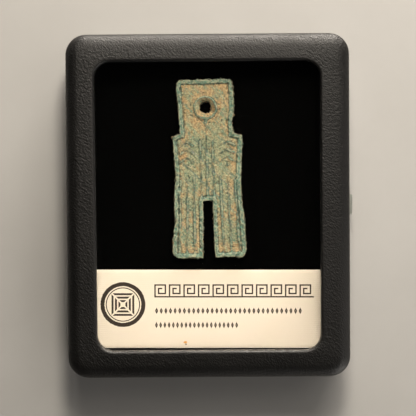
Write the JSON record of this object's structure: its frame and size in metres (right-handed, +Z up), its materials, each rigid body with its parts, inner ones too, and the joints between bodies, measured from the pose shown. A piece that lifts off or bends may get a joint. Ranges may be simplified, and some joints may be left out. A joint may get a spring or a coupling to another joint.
{
  "type": "cased spade coin",
  "caption": "Cast bronze spade-shaped coin on black velvet with a cream label card, in a flat leatherette box with a glazed hinged lid and a push catch.",
  "frame": {"origin": "centre of the underside of the box", "axes": "+X towards the push catch, +Y along the box towards the head of the coin, +Z up through the glass"},
  "size_m": [0.0917, 0.108, 0.026],
  "materials": {
    "lid_leatherette": "padded grained black leatherette, soft sheen",
    "base_leatherette": "grained black leatherette, soft sheen",
    "wadding": "white wadding",
    "pressed_steel": "bare pressed sheet",
    "pane_glass": "clear, polished",
    "liner_card": "black lined card",
    "collar_card": "card covered in black flock",
    "board_card": "grey-brown card",
    "pad_foam": "open-cell grey foam",
    "black_velvet": "deep black short-pile velvet",
    "black_felt": "thin black felt",
    "label_paper": "cream laid card with brown-black print",
    "coin_bronze": "corroded cast bronze, ochre earth and green patina",
    "hinge_brass": "dull brass",
    "rivet_brass": "dull brass",
    "catch_steel": "bare spring steel",
    "button_plate": "nickel plate, lightly brushed"
  },
  "bodies": {
    "base": {"base_cover": "base_leatherette", "base_tray": "pressed_steel", "base_felt": "black_felt", "base_collar": "collar_card", "foam_block": "pad_foam", "pad_board": "board_card", "pad_wadding": "wadding", "velvet_cover": "black_velvet", "label_card": "label_paper", "spade_coin": "coin_bronze", "hinge_leaf_base": "hinge_brass", "hinge_pin": "hinge_brass", "hinge_rivets_base": "rivet_brass", "latch_housing": "catch_steel", "housing_rivets": "rivet_brass", "latch_spring": "catch_steel"},
    "lid": {"lid_cover": "lid_leatherette", "lid_padding": "wadding", "lid_frame": "pressed_steel", "window_pane": "pane_glass", "lid_liner": "liner_card", "hinge_leaf_lid": "hinge_brass", "hinge_rivets_lid": "rivet_brass", "latch_strike": "catch_steel", "strike_rivets": "rivet_brass"},
    "catch": {"latch_button": "button_plate", "latch_slide": "catch_steel"}
  },
  "joints": [
    {"name": "lid_hinge", "type": "hinge", "parent": "base", "child": "lid", "pos_m": [-0.0442, 0, 0.01415], "axis": [0, -1, 0], "range_deg": [0, 100]},
    {"name": "catch_press", "type": "slide", "parent": "base", "child": "catch", "axis": [-1, 0, 0], "range_m": [0, 0.001], "stiffness_N_per_m": 400, "springref_m": -0.0003, "deforming": ["latch_spring"]}
  ]
}
